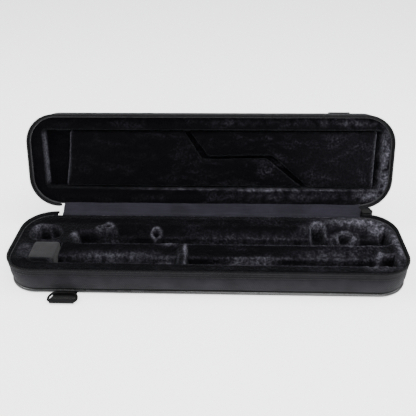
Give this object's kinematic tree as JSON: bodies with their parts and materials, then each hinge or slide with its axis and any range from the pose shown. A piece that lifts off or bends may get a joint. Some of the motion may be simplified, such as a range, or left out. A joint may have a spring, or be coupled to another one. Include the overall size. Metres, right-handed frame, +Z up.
{
  "type": "flute case",
  "caption": "Slim soft flute case, standing open: zipped halves on a cloth hinge, a plush lining shaped for the instrument, padded lid, loose foam spacer, D-rings on webbing tabs.",
  "frame": {"origin": "centre of the base's underside", "axes": "+X along the case to the right as seen from the front, -Y to the front, +Z up from the surface it stands on"},
  "size_m": [0.436, 0.2069, 0.1392],
  "materials": {
    "nylon_cover": "woven nylon, faint sheen",
    "piping": "smooth vinyl, semi-gloss",
    "shell_foam": "dense moulded foam, matt",
    "zipper_tape": "fine woven tape",
    "zipper_coil": "nylon coil, semi-gloss",
    "zipper_metal": "black enamel, semi-gloss",
    "binding": "folded tape",
    "hinge_cloth": "plain woven nylon",
    "plush": "short-pile plush",
    "plush_pad": "short-pile plush",
    "webbing": "ribbed webbing",
    "ring_metal": "black enamel, semi-gloss",
    "block_foam": "dense closed-cell foam, matt"
  },
  "bodies": {
    "base": {"base_bottom_cover": "nylon_cover", "base_piping": "piping", "base_side_cover": "nylon_cover", "base_shell": "shell_foam", "base_zipper_tape": "zipper_tape", "base_zipper_coil": "zipper_coil", "base_zipper_stops": "zipper_metal", "base_binding": "binding", "base_hinge_cloth": "hinge_cloth", "base_liner": "plush", "base_strap_tab": "webbing"},
    "lid": {"lid_top_cover": "nylon_cover", "lid_piping": "piping", "lid_side_cover": "nylon_cover", "lid_shell": "shell_foam", "lid_zipper_tape": "zipper_tape", "lid_zipper_coil": "zipper_coil", "lid_zipper_stops": "zipper_metal", "lid_binding": "binding", "lid_hinge_cloth": "hinge_cloth", "lid_liner_tray": "plush", "lid_pad_left": "plush_pad", "lid_pad_right": "plush_pad", "lid_strap_tab": "webbing"},
    "slider": {"zipper_slider": "zipper_metal", "slider_bail": "zipper_metal"},
    "pull": {"pull_tab": "zipper_metal"},
    "spacer": {"spacer_block": "block_foam"},
    "base_ring": {"base_d_ring": "ring_metal"},
    "lid_ring": {"lid_d_ring": "ring_metal"}
  },
  "joints": [
    {"name": "lid_hinge", "type": "hinge", "parent": "base", "child": "lid", "pos_m": [0, 0.0608, 0.0291], "axis": [1, 0, 0], "range_deg": [0, 107.4]},
    {"name": "slider_swing", "type": "hinge", "parent": "base", "child": "slider", "pos_m": [0.1896, 0.0608, 0.0291], "axis": [1, 0, 0], "range_deg": [0, 53.7]},
    {"name": "pull_swing", "type": "hinge", "parent": "slider", "child": "pull", "pos_m": [0.1896, 0.06283, 0.02836], "axis": [0, 0.8059, 0.592], "range_deg": [-80, 70]},
    {"name": "spacer_lift", "type": "slide", "parent": "base", "child": "spacer", "axis": [0, 0, 1], "range_m": [0, 0.0108]},
    {"name": "base_ring_swing", "type": "hinge", "parent": "base", "child": "base_ring", "pos_m": [-0.1506, -0.0703, 0.0029], "axis": [1, 0, 0], "range_deg": [0, 180]},
    {"name": "lid_ring_swing", "type": "hinge", "parent": "lid", "child": "lid_ring", "pos_m": [0.1562, 0.13083, 0.11251], "axis": [1, 0, 0], "range_deg": [-20, 150]}
  ],
  "couplings": [
    {"joint": "slider_swing", "follows": "lid_hinge", "ratio": 0.5}
  ]
}
